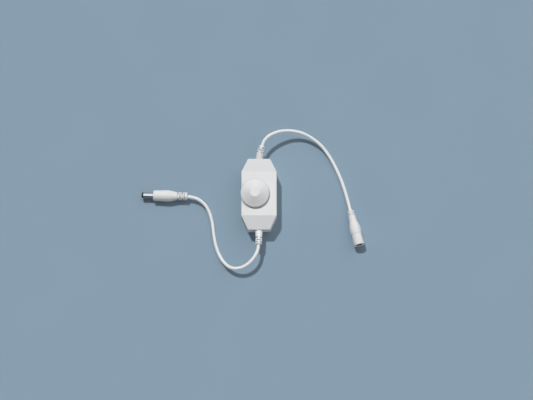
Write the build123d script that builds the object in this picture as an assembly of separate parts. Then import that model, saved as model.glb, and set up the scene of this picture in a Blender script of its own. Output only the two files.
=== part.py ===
# Inline rotary dimmer for low-voltage lamps: a two-shell case with a large
# off-centre knob on a potentiometer, a small circuit board inside, and two
# fixed leads, one ending in a barrel plug and one in a barrel jack.
# Millimetres. The origin is the centre of the case's flat base; +Z is up,
# +Y runs along the case to the end where the jack's lead leaves it.
import math
import os

from build123d import *

# Case
case_length = 71.8
case_width = 35.2
case_height = 19.0
flat_length = 44.0
end_width = 22.0
end_height = 15.6
parting_height = 12.0
wall = 1.6
edge_radius = 1.0
base_chamfer = 0.9
lip_thickness = 0.7
lip_height = 1.2
lip_clearance = 0.1

# Knob
knob_offset = -4.0
knob_radius = 14.3
knob_gap = 0.4
knob_rim_height = 2.1
knob_rim_width = 0.9
knob_rim_round = 0.35
knob_cone_rise = 5.9
knob_boss_radius = 4.7
knob_boss_crown = 0.9
knob_wall = 1.5
knob_hub_radius = 4.6
knob_hub_gap = 0.4
knob_crown_wall = 1.6
knob_rib_thickness = 1.0
knob_rib_count = 6
shaft_bore_clearance = 0.03

# Potentiometer
shaft_radius = 3.0
shaft_flat_depth = 1.3
shaft_run_clearance = 0.04
shaft_top_clearance = 0.3
pot_radius = 8.4
pot_can_height = 5.4
pot_can_wall = 0.5
pot_standoff = 0.4
pot_wafer_thickness = 1.2
pot_track_inner = 4.6
pot_track_outer = 6.8
pot_track_thickness = 0.2
pot_collar_radius = 4.3
pot_collar_height = 2.0
pot_rotor_radius = 6.6
pot_rotor_height = 1.6
pot_rotor_gap = 1.0
wiper_thickness = 0.25
wiper_width = 1.6
wiper_length = 3.2
wiper_track_gap = 0.05
pot_track_opening = 3.4
terminal_pitch = 5.0
terminal_width = 1.2
terminal_thickness = 0.5
terminal_reach = 1.2
leg_width = 2.0
solder_tail = 0.8
slot_clearance = 0.1
hub_hole_clearance = 0.4
clip_thickness = 0.35
clip_width = 2.0
clip_height = 6.0
snap_ring_thickness = 0.5
snap_ring_width = 0.9
snap_ring_opening = 1.2
snap_ring_gap = 0.1
snap_groove_depth = 0.4

# Circuit board and its posts
board_length = 46.0
board_width = 27.0
board_thickness = 1.6
board_height = 5.0
board_corner = 1.0
post_radius = 1.6
post_spacing_x = 22.0
post_spacing_y = 38.0
pin_radius = 0.8
pin_clearance = 0.1

# Case screws
screw_spacing_x = 19.0
screw_spacing_y = 53.0
screw_radius = 1.1
screw_pilot_radius = 0.95
screw_clearance = 0.15
screw_length = 14.0
screw_head_radius = 2.0
screw_head_height = 1.5
screw_head_recess = 0.4
boss_wall = 1.2
screw_slot_width = 0.5
screw_slot_depth = 0.7

# Components on the board; each stands in the row along its right-hand side or
# at the place given here, as shares of the board's width and length
component_inset = 4.9
transistor_size = (6.6, 6.2, 2.2)
transistor_share = 0.29
transistor_tab_size = (5.4, 1.4, 0.5)
transistor_leg_size = (0.8, 2.4, 0.5)
transistor_leg_spacing = 4.0
chip_size = (3.9, 4.9, 1.6)
chip_share = -0.045
chip_leg_count = 4
chip_leg_pitch = 1.27
chip_leg_size = (1.0, 0.4, 0.25)
chip_knee_length = 0.3
chip_knee_share = 0.55
chip_standoff = 0.15
electrolytic_share = -0.335
electrolytic_radius = 3.15
electrolytic_height = 7.0
electrolytic_foot_radius = 2.8
electrolytic_foot_height = 0.4
electrolytic_round = 0.4
ceramic_size = (2.0, 1.25, 1.1)
ceramic_shares = [(0.32, -0.175), (0.32, 0.08), (-0.26, -0.315)]
resistor_size = (2.0, 1.25, 0.6)
resistor_shares = [(-0.07, 0.305), (-0.2, 0.305), (-0.33, 0.305), (0.13, -0.315), (0.0, -0.315)]
diode_size = (4.4, 2.6, 2.2)
diode_shares = [(0.02, 0.4)]
pad_spacing = 7.0
pad_inset = 2.0
solder_radius = 1.4
solder_top_radius = 0.9
solder_height = 1.1
wire_radius = 0.65
wire_spacing = 1.8
wire_arch_height = 3.4
wire_arch_lift = 0.3
wire_straight = 2.2
wire_arch_length = 4.0
wire_bend_radius = 0.9

# Strain reliefs moulded on the leads at the case: each has a tapered root
# and a ribbed end, and each half has its own heading and climb in degrees
relief_neck_radius = 2.3
relief_neck_clearance = 0.05
relief_root_length = 6.4
relief_root_radius = 3.4
relief_waist_radius = 3.2
relief_ribs_length = 7.0
relief_tip_radius = 2.9
relief_core_radius = 2.2
relief_ring_count = 3
relief_gap = 0.9
relief_flange_width = 9.0
relief_flange_height = 5.6
relief_flange_thickness = 1.4
relief_flange_clearance = 0.1
input_root_aim = (81.0, 25.0)
input_ribs_aim = (73.0, 10.0)
output_root_aim = (-90.0, 3.0)
output_ribs_aim = (-93.0, 5.0)

# Leads
cord_diameter = 3.4
exit_run = 4.0
plug_run = 4.2
jack_run = 7.5
arc_share = 0.45

# Barrel plug on the output lead; lengths run from the lead to the tip
plug_rear = (-71.4, -0.4, 5.7)
plug_aim = (178.5, 0.0)
plug_relief_length = 11.4
plug_relief_radius = 3.9
plug_relief_core = 2.2
plug_relief_rings = 5
plug_relief_gap = 0.9
plug_shoulder_length = 6.6
plug_shoulder_radius = 4.1
plug_shoulder_round_length = 1.5
plug_shoulder_round_drop = 0.35
plug_belly_length = 5.5
plug_belly_radius = 5.7
plug_step_length = 3.0
plug_step_radius = 5.4
plug_front_radius = 5.15
plug_body_length = 34.0
plug_front_round = 0.6
barrel_radius = 2.75
barrel_wall = 0.4
barrel_length = 9.8
barrel_seat = 4.0
barrel_flange_radius = 3.4
tip_length = 1.7
tip_collar_radius = 2.72
tip_round_length = 0.4
tip_end_radius = 2.66
tip_round_radius = 2.4
contact_bore_radius = 1.05
contact_wall = 0.35
contact_depth = 10.5
contact_back = 0.5
tip_bore_radius = 1.3

# Barrel jack on the input lead; lengths run from the lead to the face. It lies
# on its belly and its end ring, which tips its face up a little
jack_rear = (91.1, -15.06, 3.58)
jack_aim = (-76.8, 6.5)
jack_length = 36.0
jack_ring_length = 2.2
jack_ring_radius = 3.55
jack_groove_length = 1.3
jack_groove_radius = 2.8
jack_neck_length = 7.4
jack_neck_start_radius = 3.65
jack_neck_end_radius = 3.9
jack_shoulder_length = 7.6
jack_shoulder_rise_length = 3.4
jack_shoulder_radius = 4.9
jack_shoulder_round_length = 1.0
jack_shoulder_round_radius = 5.6
jack_belly_length = 5.2
jack_belly_radius = 5.7
jack_step_length = 1.4
jack_step_radius = 5.25
jack_front_radius = 5.3
jack_front_round = 0.6
socket_radius = 3.0
socket_depth = 10.0
liner_wall = 1.1
liner_back = 2.0
jack_lip_length = 1.2
jack_pin_radius = 1.0
jack_pin_recess = 0.8
spring_inset = 0.3
spring_proud = 0.2
spring_width = 1.6
spring_end_gap = 1.0
spring_clearance = 0.05
jack_pin_chamfer = 0.35

# Route of the input lead between its straight runs out of the strain relief
# and into the jack
input_route = [
    (5.95, 55.2, 16.9),
    (9.4, 58.7, 16.9),
    (14.1, 61.6, 16.2),
    (19.8, 63.9, 15.0),
    (26.7, 65.4, 13.1),
    (34.8, 65.5, 11.1),
    (44.4, 63.6, 9.1),
    (54.1, 58.5, 7.0),
    (62.9, 51.3, 5.0),
    (70.2, 41.7, 3.2),
    (76.3, 30.6, 1.9),
    (81.6, 18.7, 1.7),
    (85.9, 6.0, 1.75),
]

# Route of the output lead between its straight runs out of the strain relief
# and into the plug
output_route = [
    (-1.8, -57.7, 14.0),
    (-4.2, -62.3, 14.2),
    (-7.8, -66.8, 13.8),
    (-12.7, -70.6, 12.5),
    (-18.6, -73.0, 10.9),
    (-24.7, -73.2, 8.7),
    (-30.0, -71.2, 6.6),
    (-34.4, -67.2, 4.7),
    (-38.2, -61.7, 3.0),
    (-41.5, -54.4, 1.8),
    (-44.0, -45.3, 1.7),
    (-45.4, -35.2, 1.7),
    (-46.6, -25.4, 1.8),
    (-49.2, -16.4, 2.4),
    (-53.0, -9.4, 3.7),
    (-57.3, -5.1, 4.8),
    (-61.9, -1.9, 5.5),
]

# Heights and places that follow from the sizes above
half_length = case_length / 2
board_top = board_height + board_thickness
ceiling = case_height - wall
pot_base = board_top + pot_standoff
pot_can_base = pot_base + pot_wafer_thickness
pot_can_top = pot_can_base + pot_can_height
pot_collar_top = pot_can_top + pot_collar_height
rotor_base = pot_can_base + pot_rotor_gap
snap_ring_top = pot_can_top - pot_can_wall - snap_ring_gap
knob_base = case_height + knob_gap
rim_top = knob_base + knob_rim_height
boss_edge = rim_top + knob_cone_rise
crown_top = boss_edge + knob_boss_crown
hub_bottom = pot_collar_top + knob_hub_gap
bore_radius = shaft_radius + shaft_bore_clearance
bore_top = crown_top - knob_crown_wall
shaft_top = bore_top - shaft_top_clearance
flat_x = shaft_radius - shaft_flat_depth
pad_y = board_length / 2 - pad_inset
component_x = board_width / 2 - component_inset
at_knob = Pos(knob_offset, 0, 0)
input_relief = (1, input_root_aim, input_ribs_aim)
output_relief = (-1, output_root_aim, output_ribs_aim)


def between(low, high):
    """A box from its low corner to its high corner."""
    size = [b - a for a, b in zip(low, high)]
    middle = [(a + b) / 2 for a, b in zip(low, high)]
    return Pos(*middle) * Box(*size)


def disc(radius, low, high, x=0.0, y=0.0):
    """An upright cylinder from one height to another."""
    return Pos(x, y, (low + high) / 2) * Cylinder(radius, high - low)


def tube(outer, inner, low, high, x=0.0, y=0.0):
    """An upright tube from one height to another."""
    return disc(outer, low, high, x, y) - disc(inner, low, high, x, y)


def rod(radius, start, end):
    """A cylinder along +X from one station to another."""
    return Pos((start + end) / 2, 0, 0) * Rot(0, 90, 0) * Cylinder(radius, end - start)


def turned(outline):
    """A solid of revolution about X from (station, radius) points."""
    points = [(station, radius, 0) for station, radius in outline]
    face = make_face(Polyline(*points, close=True))
    return revolve(face, Axis.X)


def ribbed(length, root, tip, core, count, gap):
    """A flexible sleeve along +X: rings on a core, with alternate side notches."""
    pitch = (length + gap) / count
    sleeve = rod(core, 0, length)
    for index in range(count):
        start = index * pitch
        radius = root + (tip - root) * (start / length)
        sleeve += rod(radius, start, start + pitch - gap)
    return sleeve


def grid(spacing_x, spacing_y):
    """The four corners of a rectangle about the origin."""
    return [(x * spacing_x / 2, y * spacing_y / 2) for x in (-1, 1) for y in (-1, 1)]


def case_block(inset):
    """The case's outer form, or the same form moved inwards by a wall."""
    half_wide = case_width / 2
    half_flat = flat_length / 2
    half_end = end_width / 2
    plan = Polygon(
        (half_wide, -half_flat), (half_wide, half_flat), (half_end, half_length),
        (-half_end, half_length), (-half_wide, half_flat), (-half_wide, -half_flat),
        (-half_end, -half_length), (half_end, -half_length), align=None)
    side = Polygon(
        (-half_length, 0), (half_length, 0), (half_length, end_height),
        (half_flat, case_height), (-half_flat, case_height), (-half_length, end_height),
        align=None)
    if inset:
        plan = offset(plan, -inset, kind=Kind.INTERSECTION)
        side = offset(side, -inset, kind=Kind.INTERSECTION)
    across = Plane(origin=(0, 0, 0), x_dir=(0, 1, 0), z_dir=(1, 0, 0))
    return extrude(plan, case_height) & extrude(across * side, case_width, both=True)


def rounded_case():
    """The outer form with rounded corners and top edges and a chamfered base."""
    block = case_block(0)
    block = fillet(block.edges().filter_by(lambda e: e.center().Z > base_chamfer), edge_radius)
    return chamfer(block.edges().filter_by(lambda e: e.center().Z < edge_radius / 10),
                   base_chamfer)


def ring_in_wall(outer_inset, inner_inset, low, high):
    """A band of the case's wall between two insets and two heights."""
    slab = between((-case_width, -case_length, low), (case_width, case_length, high))
    return (case_block(outer_inset) - case_block(inner_inset)) & slab


def neck_hole():
    """The round hole through both end walls, shared by the two covers."""
    radius = relief_neck_radius + relief_neck_clearance
    along = Rot(90, 0, 0) * Cylinder(radius, case_length + 2 * wall)
    inside = between((-case_width, wall - half_length, 0),
                     (case_width, half_length - wall, case_height))
    return Pos(0, 0, parting_height) * along - inside


def screw_bosses(low, high, hole_radius):
    """Four tubes that the case screws pass through or cut into."""
    radius = screw_radius + screw_clearance + boss_wall
    bosses = [tube(radius, hole_radius, low, high, x, y)
              for x, y in grid(screw_spacing_x, screw_spacing_y)]
    return Part() + bosses


def bottom_cover(outer, inner):
    """The lower shell, with board posts, screw bosses and the tongue of the joint."""
    below = between((-case_width, -case_length, 0), (case_width, case_length, parting_height))
    shell = (outer - inner) & below
    shell += screw_bosses(wall, parting_height, screw_radius + screw_clearance) & outer
    tongue_outer = wall - lip_thickness
    shell += ring_in_wall(tongue_outer, wall, parting_height, parting_height + lip_height)
    for x, y in grid(post_spacing_x, post_spacing_y):
        shell += disc(post_radius, wall, board_height, x, y)
        shell += disc(pin_radius, board_height, board_top, x, y)
    recess_top = screw_head_recess + screw_head_height
    for x, y in grid(screw_spacing_x, screw_spacing_y):
        shell += disc(screw_radius + screw_clearance + boss_wall, wall, recess_top + wall, x, y)
        shell -= disc(screw_head_radius + screw_clearance, 0, recess_top, x, y)
        shell -= disc(screw_radius + screw_clearance, 0, parting_height, x, y)
    return shell - neck_hole()


def top_cover(outer, inner):
    """The upper shell, with pilot bosses, the joint's groove and the knob's hole."""
    above = between((-case_width, -case_length, parting_height),
                    (case_width, case_length, case_height))
    shell = (outer - inner) & above
    shell += screw_bosses(parting_height, case_height, screw_pilot_radius) & inner
    groove_outer = wall - lip_thickness - lip_clearance
    groove_top = parting_height + lip_height + lip_clearance
    shell -= ring_in_wall(groove_outer, wall, parting_height, groove_top)
    shell -= disc(knob_hub_radius + hub_hole_clearance, ceiling, case_height, knob_offset)
    return shell - neck_hole()


def case_screws():
    """Four self-tapping screws, driven up from the base."""
    head_top = screw_head_recess + screw_head_height
    screws = []
    for x, y in grid(screw_spacing_x, screw_spacing_y):
        screw = disc(screw_head_radius, screw_head_recess, head_top, x, y)
        screw += disc(screw_radius, head_top, head_top + screw_length - screw_head_height, x, y)
        slot = Box(2 * screw_head_radius * 0.7, screw_slot_width, 2 * screw_slot_depth)
        cross = slot + Rot(0, 0, 90) * slot
        screws.append(screw - Pos(x, y, screw_head_recess) * cross)
    return Part() + screws


def knob_form():
    """The knob's outer form: rim, shallow cone and crowned boss."""
    shoulder = knob_radius - knob_rim_width
    skirt = Polyline((0, 0, knob_base), (knob_radius, 0, knob_base),
                     (knob_radius, 0, rim_top - knob_rim_round),
                     (knob_radius - knob_rim_round, 0, rim_top),
                     (shoulder, 0, rim_top), (knob_boss_radius, 0, boss_edge))
    half = knob_boss_radius / 2
    ball = (knob_boss_radius ** 2 + knob_boss_crown ** 2) / (2 * knob_boss_crown)
    middle = (half, 0, crown_top - ball + math.sqrt(ball ** 2 - half ** 2))
    crown = ThreePointArc((knob_boss_radius, 0, boss_edge), middle, (0, 0, crown_top))
    axle = Line((0, 0, crown_top), (0, 0, knob_base))
    return revolve(make_face(skirt.edges() + crown.edges() + axle.edges()), Axis.Z)


def knob_hollow():
    """The ring-shaped space under the skirt, between the rim's wall and the hub."""
    rim = knob_radius - knob_rim_width - knob_wall
    slope = knob_cone_rise / (knob_radius - knob_rim_width - knob_boss_radius)
    low = rim_top - knob_wall
    high = low + slope * (rim - knob_hub_radius)
    section = make_face(Polyline((knob_hub_radius, 0, knob_base), (rim, 0, knob_base),
                                 (rim, 0, low), (knob_hub_radius, 0, high), close=True))
    return revolve(section, Axis.Z)


def rotary_knob():
    """The moulded knob, with a D-shaped bore in its hub and ribs under the skirt."""
    ribs = Part()
    for index in range(knob_rib_count):
        rib = between((knob_hub_radius / 2, -knob_rib_thickness / 2,
                       knob_base + knob_rim_height / 2),
                      (knob_radius, knob_rib_thickness / 2, crown_top))
        ribs += Rot(0, 0, (index + 0.5) * 360 / knob_rib_count) * rib
    body = knob_form() - (knob_hollow() - ribs) + disc(knob_hub_radius, hub_bottom, knob_base)
    bore = disc(bore_radius, hub_bottom, bore_top)
    bore -= between((flat_x + clip_thickness, -bore_radius, hub_bottom),
                    (bore_radius, bore_radius, bore_top))
    return at_knob * (body - bore)


def knob_spring_clip():
    """A steel leaf in the hub that bears on the shaft's flat."""
    top = bore_top - shaft_top_clearance
    leaf = between((flat_x, -clip_width / 2, top - clip_height),
                   (flat_x + clip_thickness, clip_width / 2, top))
    return at_knob * leaf


def potentiometer_shaft():
    """The turned shaft, with a flat for the knob and a groove for its snap ring."""
    shaft = disc(shaft_radius, rotor_base, shaft_top)
    shaft -= between((flat_x, -shaft_radius, pot_collar_top),
                     (shaft_radius, shaft_radius, shaft_top))
    groove = tube(shaft_radius, shaft_radius - snap_groove_depth,
                  snap_ring_top - snap_ring_thickness, snap_ring_top)
    return at_knob * (shaft - groove)


def shaft_snap_ring():
    """The open steel ring that keeps the shaft from pulling out."""
    inner = shaft_radius - snap_groove_depth
    ring = tube(inner + snap_ring_width, inner, snap_ring_top - snap_ring_thickness,
                snap_ring_top)
    opening = between((0, -snap_ring_opening / 2, 0),
                      (2 * shaft_radius, snap_ring_opening / 2, case_height))
    return at_knob * (ring - opening)


def potentiometer_rotor():
    """The plastic disc on the shaft's foot that carries the wiper."""
    return at_knob * tube(pot_rotor_radius, shaft_radius, rotor_base,
                          rotor_base + pot_rotor_height)


def potentiometer_wiper():
    """Two bronze fingers that reach from the rotor down to the track."""
    middle = (pot_track_inner + pot_track_outer) / 2
    low = pot_can_base + pot_track_thickness + wiper_track_gap
    end = wiper_length / 2
    arm = between((middle - wiper_width / 2, -end, rotor_base - wiper_thickness),
                  (middle + wiper_width / 2, end, rotor_base))
    foot = between((middle - wiper_width / 2, end - 2 * wiper_thickness, low),
                   (middle + wiper_width / 2, end, rotor_base))
    finger = arm + foot
    return at_knob * (finger + Rot(0, 0, 180) * finger)


def potentiometer_wafer():
    """The phenolic base plate of the potentiometer."""
    return at_knob * disc(pot_radius, pot_base, pot_can_base)


def potentiometer_track():
    """The printed carbon track, an open ring on the wafer."""
    ring = tube(pot_track_outer, pot_track_inner, pot_can_base,
                pot_can_base + pot_track_thickness)
    opening = between((-pot_track_opening / 2, -pot_radius, 0),
                      (pot_track_opening / 2, 0, case_height))
    return at_knob * (ring - opening)


def potentiometer_can():
    """The pressed steel can, with two legs that are soldered into the board."""
    inside = pot_can_top - pot_can_wall
    can = disc(pot_radius, pot_can_base, pot_can_top)
    can -= disc(pot_radius - pot_can_wall, pot_can_base, inside)
    can -= disc(shaft_radius + 2 * shaft_run_clearance, inside, pot_can_top)
    for side in (-1, 1):
        near, far = sorted((side * pot_radius, side * (pot_radius + pot_can_wall)))
        can += between((near, -leg_width / 2, board_height - solder_tail),
                       (far, leg_width / 2, pot_can_top - pot_can_wall))
        inner, outer = sorted((side * (pot_radius - pot_can_wall), side * pot_radius))
        can += between((inner, -leg_width / 2, pot_can_base),
                       (outer, leg_width / 2, pot_can_top - pot_can_wall))
    return at_knob * can


def potentiometer_collar():
    """The bearing collar on top of the can that guides the shaft."""
    bore = shaft_radius + shaft_run_clearance
    return at_knob * tube(pot_collar_radius, bore, pot_can_top, pot_collar_top)


def potentiometer_terminals():
    """Three tinned strips from the wafer's edge down through the board."""
    strips = []
    for index in (-1, 0, 1):
        x = index * terminal_pitch
        front = -pot_radius - terminal_reach
        half = terminal_width / 2
        strip = between((x - half, front, pot_can_base),
                        (x + half, 0, pot_can_base + terminal_thickness))
        strip += between((x - half, front, board_height - solder_tail),
                         (x + half, front + terminal_thickness, pot_can_base))
        strips.append(strip - disc(pot_radius, 0, case_height))
    return at_knob * (Part() + strips)


def board_slots():
    """Where the potentiometer's legs and terminals pass through the board."""
    slots = []
    for index in (-1, 0, 1):
        x = knob_offset + index * terminal_pitch
        front = -pot_radius - terminal_reach
        half = terminal_width / 2 + slot_clearance
        slots.append(between((x - half, front - slot_clearance, 0),
                             (x + half, front + terminal_thickness + slot_clearance, case_height)))
    for side in (-1, 1):
        near = side * (pot_radius - slot_clearance)
        far = side * (pot_radius + pot_can_wall + slot_clearance)
        low_x, high_x = sorted((knob_offset + near, knob_offset + far))
        half = leg_width / 2 + slot_clearance
        slots.append(between((low_x, -half, 0), (high_x, half, case_height)))
    return Part() + slots


def circuit_board():
    """The board, with holes for the posts' pins and slots for the potentiometer."""
    board = between((-board_width / 2, -board_length / 2, board_height),
                    (board_width / 2, board_length / 2, board_top))
    board = fillet(board.edges().filter_by(Axis.Z), board_corner)
    for x, y in grid(post_spacing_x, post_spacing_y):
        board -= disc(pin_radius + pin_clearance, board_height, board_top, x, y)
    return board - board_slots()


def block(x, y, size, base=0.0):
    """A box on the board from its middle, its size and its height off the board."""
    length, width, height = size
    return between((x - length / 2, y - width / 2, board_top + base),
                   (x + length / 2, y + width / 2, board_top + height))


def timer_chip():
    """The moulded timer chip, with bent legs on two sides."""
    width, _, height = chip_size
    reach, leg_wide, leg_thick = chip_leg_size
    x, y = component_x, chip_share * board_length
    shell = block(x, y, chip_size, chip_standoff)
    for side in (-1, 1):
        for index in range(chip_leg_count):
            leg_y = y + (index - (chip_leg_count - 1) / 2) * chip_leg_pitch
            foot_x = x + side * (width + reach) / 2
            knee_x = x + side * (width + chip_knee_length) / 2
            shell += block(foot_x, leg_y, (reach, leg_wide, leg_thick))
            shell += block(knee_x, leg_y, (chip_knee_length, leg_wide, height * chip_knee_share))
    return shell


def power_transistor():
    """The surface-mounted switching transistor, with its solder tab and legs."""
    x, y = component_x, transistor_share * board_length
    length = transistor_size[1]
    tab_y = y + (length + transistor_tab_size[1]) / 2
    leg_y = y - (length + transistor_leg_size[1]) / 2
    body = block(x, y, transistor_size) + block(x, tab_y, transistor_tab_size)
    for side in (-1, 1):
        body += block(x + side * transistor_leg_spacing / 2, leg_y, transistor_leg_size)
    return body


def electrolytic_capacitor():
    """The smoothing capacitor, standing on its rubber-stoppered end."""
    x, y = component_x, electrolytic_share * board_length
    shoulder = board_top + electrolytic_foot_height
    can = disc(electrolytic_radius, shoulder, board_top + electrolytic_height, x, y)
    can += disc(electrolytic_foot_radius, board_top, shoulder, x, y)
    return fillet(can.edges().sort_by(Axis.Z)[-1], electrolytic_round)


def small_blocks(shares, size):
    """Like surface-mounted blocks, one at each place on the board."""
    return Part() + [block(x * board_width, y * board_length, size) for x, y in shares]


def wire_route(side_x, side_y):
    """Middle line of one inner wire, from the strain relief to its pad."""
    start_y = half_length - wall - relief_flange_clearance - relief_flange_thickness
    start_x = side_x * wire_spacing / 2
    pad_x = side_x * pad_spacing / 2
    arch = board_top + wire_arch_height
    return [(start_x, side_y * start_y, parting_height),
            (start_x, side_y * (start_y - wire_straight), parting_height),
            (pad_x, side_y * (pad_y + wire_arch_length), arch + wire_arch_lift),
            (pad_x, side_y * pad_y, arch),
            (pad_x, side_y * pad_y, board_top)]


def inner_wire(side_x, side_y):
    """One insulated wire inside the case."""
    path = FilletPolyline(*wire_route(side_x, side_y), radius=wire_bend_radius)
    return sweep(Plane(path @ 0, z_dir=path % 0) * Circle(wire_radius), path=path)


def solder_joints():
    """Four solder cones round the wires' ends."""
    cones = []
    for x in (-1, 1):
        for y in (-1, 1):
            place = Pos(x * pad_spacing / 2, y * pad_y, board_top + solder_height / 2)
            cone = place * Cone(solder_radius, solder_top_radius, solder_height)
            hole = place * Cylinder(wire_radius, solder_height)
            cones.append(cone - hole)
    return Part() + cones


def ahead(start, heading, climb, distance):
    """The point at a distance from another along a heading and a climb."""
    turn, rise = math.radians(heading), math.radians(climb)
    step = (math.cos(rise) * math.cos(turn), math.cos(rise) * math.sin(turn), math.sin(rise))
    return tuple(a + distance * b for a, b in zip(start, step))


def aimed(shape, start, aim):
    """Turn a piece that was built along +X to a heading and a climb."""
    heading, climb = aim
    return Pos(*start) * Rot(0, 0, heading) * Rot(0, -climb, 0) * shape


def relief_points(side_y, root_aim, ribs_aim):
    """Where a strain relief leaves the wall, bends and lets its lead out."""
    start = (0, side_y * half_length, parting_height)
    knee = ahead(start, *root_aim, relief_root_length)
    return start, knee, ahead(knee, *ribs_aim, relief_ribs_length)


def strain_relief(side_y, root_aim, ribs_aim):
    """A strain relief moulded on a lead: flange and neck in the wall, ribs outside."""
    start, knee, _ = relief_points(side_y, root_aim, ribs_aim)
    root = turned([(-wall, 0), (-wall, relief_root_radius), (0, relief_root_radius),
                   (relief_root_length, relief_waist_radius), (relief_root_length, 0)])
    sleeve = aimed(root, start, root_aim)
    sleeve -= between((-case_width, -half_length, 0), (case_width, half_length, 2 * case_height))
    ribs = ribbed(relief_ribs_length - relief_gap, relief_waist_radius, relief_tip_radius,
                  relief_core_radius, relief_ring_count, relief_gap)
    ribs = Pos(relief_gap, 0, 0) * ribs + rod(relief_core_radius, -relief_gap, relief_ribs_length)
    inner = half_length - wall - relief_flange_clearance
    neck = Pos(0, side_y * (inner + half_length) / 2, parting_height) * Rot(90, 0, 0) \
        * Cylinder(relief_neck_radius, half_length - inner)
    flange_top = parting_height + relief_neck_radius - relief_neck_clearance
    back, front = sorted((side_y * (inner - relief_flange_thickness), side_y * inner))
    flange = between((-relief_flange_width / 2, back, flange_top - relief_flange_height),
                     (relief_flange_width / 2, front, flange_top))
    return sleeve + aimed(ribs, knee, ribs_aim) + neck + flange


def arc_radii(route):
    """One arc for each corner of a route, as large as its two runs allow."""
    radii = []
    for before, corner, after in zip(route, route[1:], route[2:]):
        coming = Vector(*corner) - Vector(*before)
        going = Vector(*after) - Vector(*corner)
        half_turn = math.radians(coming.get_angle(going)) / 2
        radii.append(arc_share * min(coming.length, going.length) / math.tan(half_turn))
    return radii


def lead(name, relief, middle, rear, aim, last_run):
    """A lead's sheath from its strain relief to the piece on its far end."""
    exit_point = relief_points(*relief)[-1]
    first = ahead(exit_point, *relief[-1], exit_run)
    last = ahead(rear, *aim, -last_run)
    route = [exit_point, first, *middle, last, rear]
    radii = arc_radii(route)
    path = FilletPolyline(*route, radius=radii)
    sheath = sweep(Plane(path @ 0, z_dir=path % 0) * Circle(cord_diameter / 2), path=path)
    section = math.pi * cord_diameter ** 2 / 4
    print(name, "length", round(path.length, 1), "volume share",
          round(sheath.volume / (section * path.length), 4),
          "radii", [round(r) for r in radii])
    print(name, "exit and ends", [[round(c, 2) for c in p] for p in route[:2] + route[-2:]])
    return sheath


def plug_body():
    """The plug's moulded grip: ribbed sleeve, shoulder, belly and straight nose."""
    belly_start = plug_relief_length + plug_shoulder_length
    belly_end = belly_start + plug_belly_length
    nose = plug_body_length - plug_front_round
    grip = turned([(plug_relief_length, 0), (plug_relief_length, plug_shoulder_radius),
                   (belly_start - plug_shoulder_round_length,
                    plug_belly_radius - plug_shoulder_round_drop),
                   (belly_start, plug_belly_radius), (belly_end, plug_belly_radius),
                   (belly_end + plug_step_length, plug_step_radius), (nose, plug_front_radius),
                   (plug_body_length, plug_front_radius - plug_front_round),
                   (plug_body_length, 0)])
    grip += ribbed(plug_relief_length - plug_relief_gap, plug_relief_radius,
                   plug_relief_radius, plug_relief_core, plug_relief_rings, plug_relief_gap)
    grip += rod(plug_relief_core, plug_relief_length - plug_relief_gap, plug_relief_length)
    return grip - rod(barrel_flange_radius, plug_body_length - barrel_seat, plug_body_length)


def plug_sleeve():
    """The plated outer barrel with its moulded-in flange, the plug's negative contact."""
    start = plug_body_length - barrel_seat
    end = plug_body_length + barrel_length
    sleeve = rod(barrel_radius, start, end)
    sleeve += rod(barrel_flange_radius, start, plug_body_length)
    return sleeve - rod(barrel_radius - barrel_wall, start, end)


def plug_insulator():
    """The black insulator inside the barrel, with its collar at the tip."""
    start = plug_body_length - barrel_seat
    end = plug_body_length + barrel_length
    tip = end + tip_length
    core = rod(barrel_radius - barrel_wall, start, end)
    collar = turned([(end, 0), (end, tip_collar_radius),
                     (tip - tip_round_length, tip_end_radius),
                     (tip, tip_round_radius), (tip, 0)])
    bore = rod(contact_bore_radius + contact_wall, start + contact_back, end)
    return core + collar - bore - rod(tip_bore_radius, end, tip)


def plug_contact():
    """The inner spring tube, the plug's positive contact."""
    end = plug_body_length + barrel_length
    start = plug_body_length - barrel_seat + contact_back
    outside = rod(contact_bore_radius + contact_wall, start, end)
    return outside - rod(contact_bore_radius, end - contact_depth, end)


def jack_stations():
    """Distances along the jack where its section changes."""
    ring = jack_ring_length
    neck = ring + jack_groove_length
    shoulder = neck + jack_neck_length
    belly = shoulder + jack_shoulder_length
    step = belly + jack_belly_length
    front = step + jack_step_length
    return ring, neck, shoulder, belly, step, front


def jack_body():
    """The jack's moulded grip: end ring, groove, neck, shoulder, belly and nose."""
    ring, neck, shoulder, belly, step, front = jack_stations()
    nose = jack_length - jack_front_round
    grip = turned([(0, 0), (0, jack_ring_radius), (ring, jack_ring_radius),
                   (ring, jack_groove_radius), (neck, jack_groove_radius),
                   (neck, jack_neck_start_radius), (shoulder, jack_neck_end_radius),
                   (shoulder + jack_shoulder_rise_length, jack_shoulder_radius),
                   (belly - jack_shoulder_round_length, jack_shoulder_round_radius),
                   (belly, jack_belly_radius), (step, jack_belly_radius),
                   (front, jack_step_radius),
                   (nose, jack_front_radius), (jack_length, jack_front_radius - jack_front_round),
                   (jack_length, 0)])
    back = jack_length - socket_depth - liner_back
    lip = jack_length - jack_lip_length
    return grip - rod(socket_radius + liner_wall, back, lip) - rod(socket_radius, lip, jack_length)


def jack_liner():
    """The moulded insert that forms the socket and holds its contacts."""
    back = jack_length - socket_depth - liner_back
    face = jack_length - jack_lip_length
    liner = rod(socket_radius + liner_wall, back, face)
    liner -= rod(socket_radius, jack_length - socket_depth, face)
    liner -= rod(jack_pin_radius, back, jack_length)
    return liner - spring_blade(spring_clearance)


def jack_centre_pin():
    """The centre pin, the jack's positive contact."""
    start = jack_length - socket_depth - liner_back
    end = jack_length - jack_pin_recess
    pin = rod(jack_pin_radius, start, end)
    return chamfer(pin.edges().sort_by(Axis.X)[-1], jack_pin_chamfer)


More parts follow.
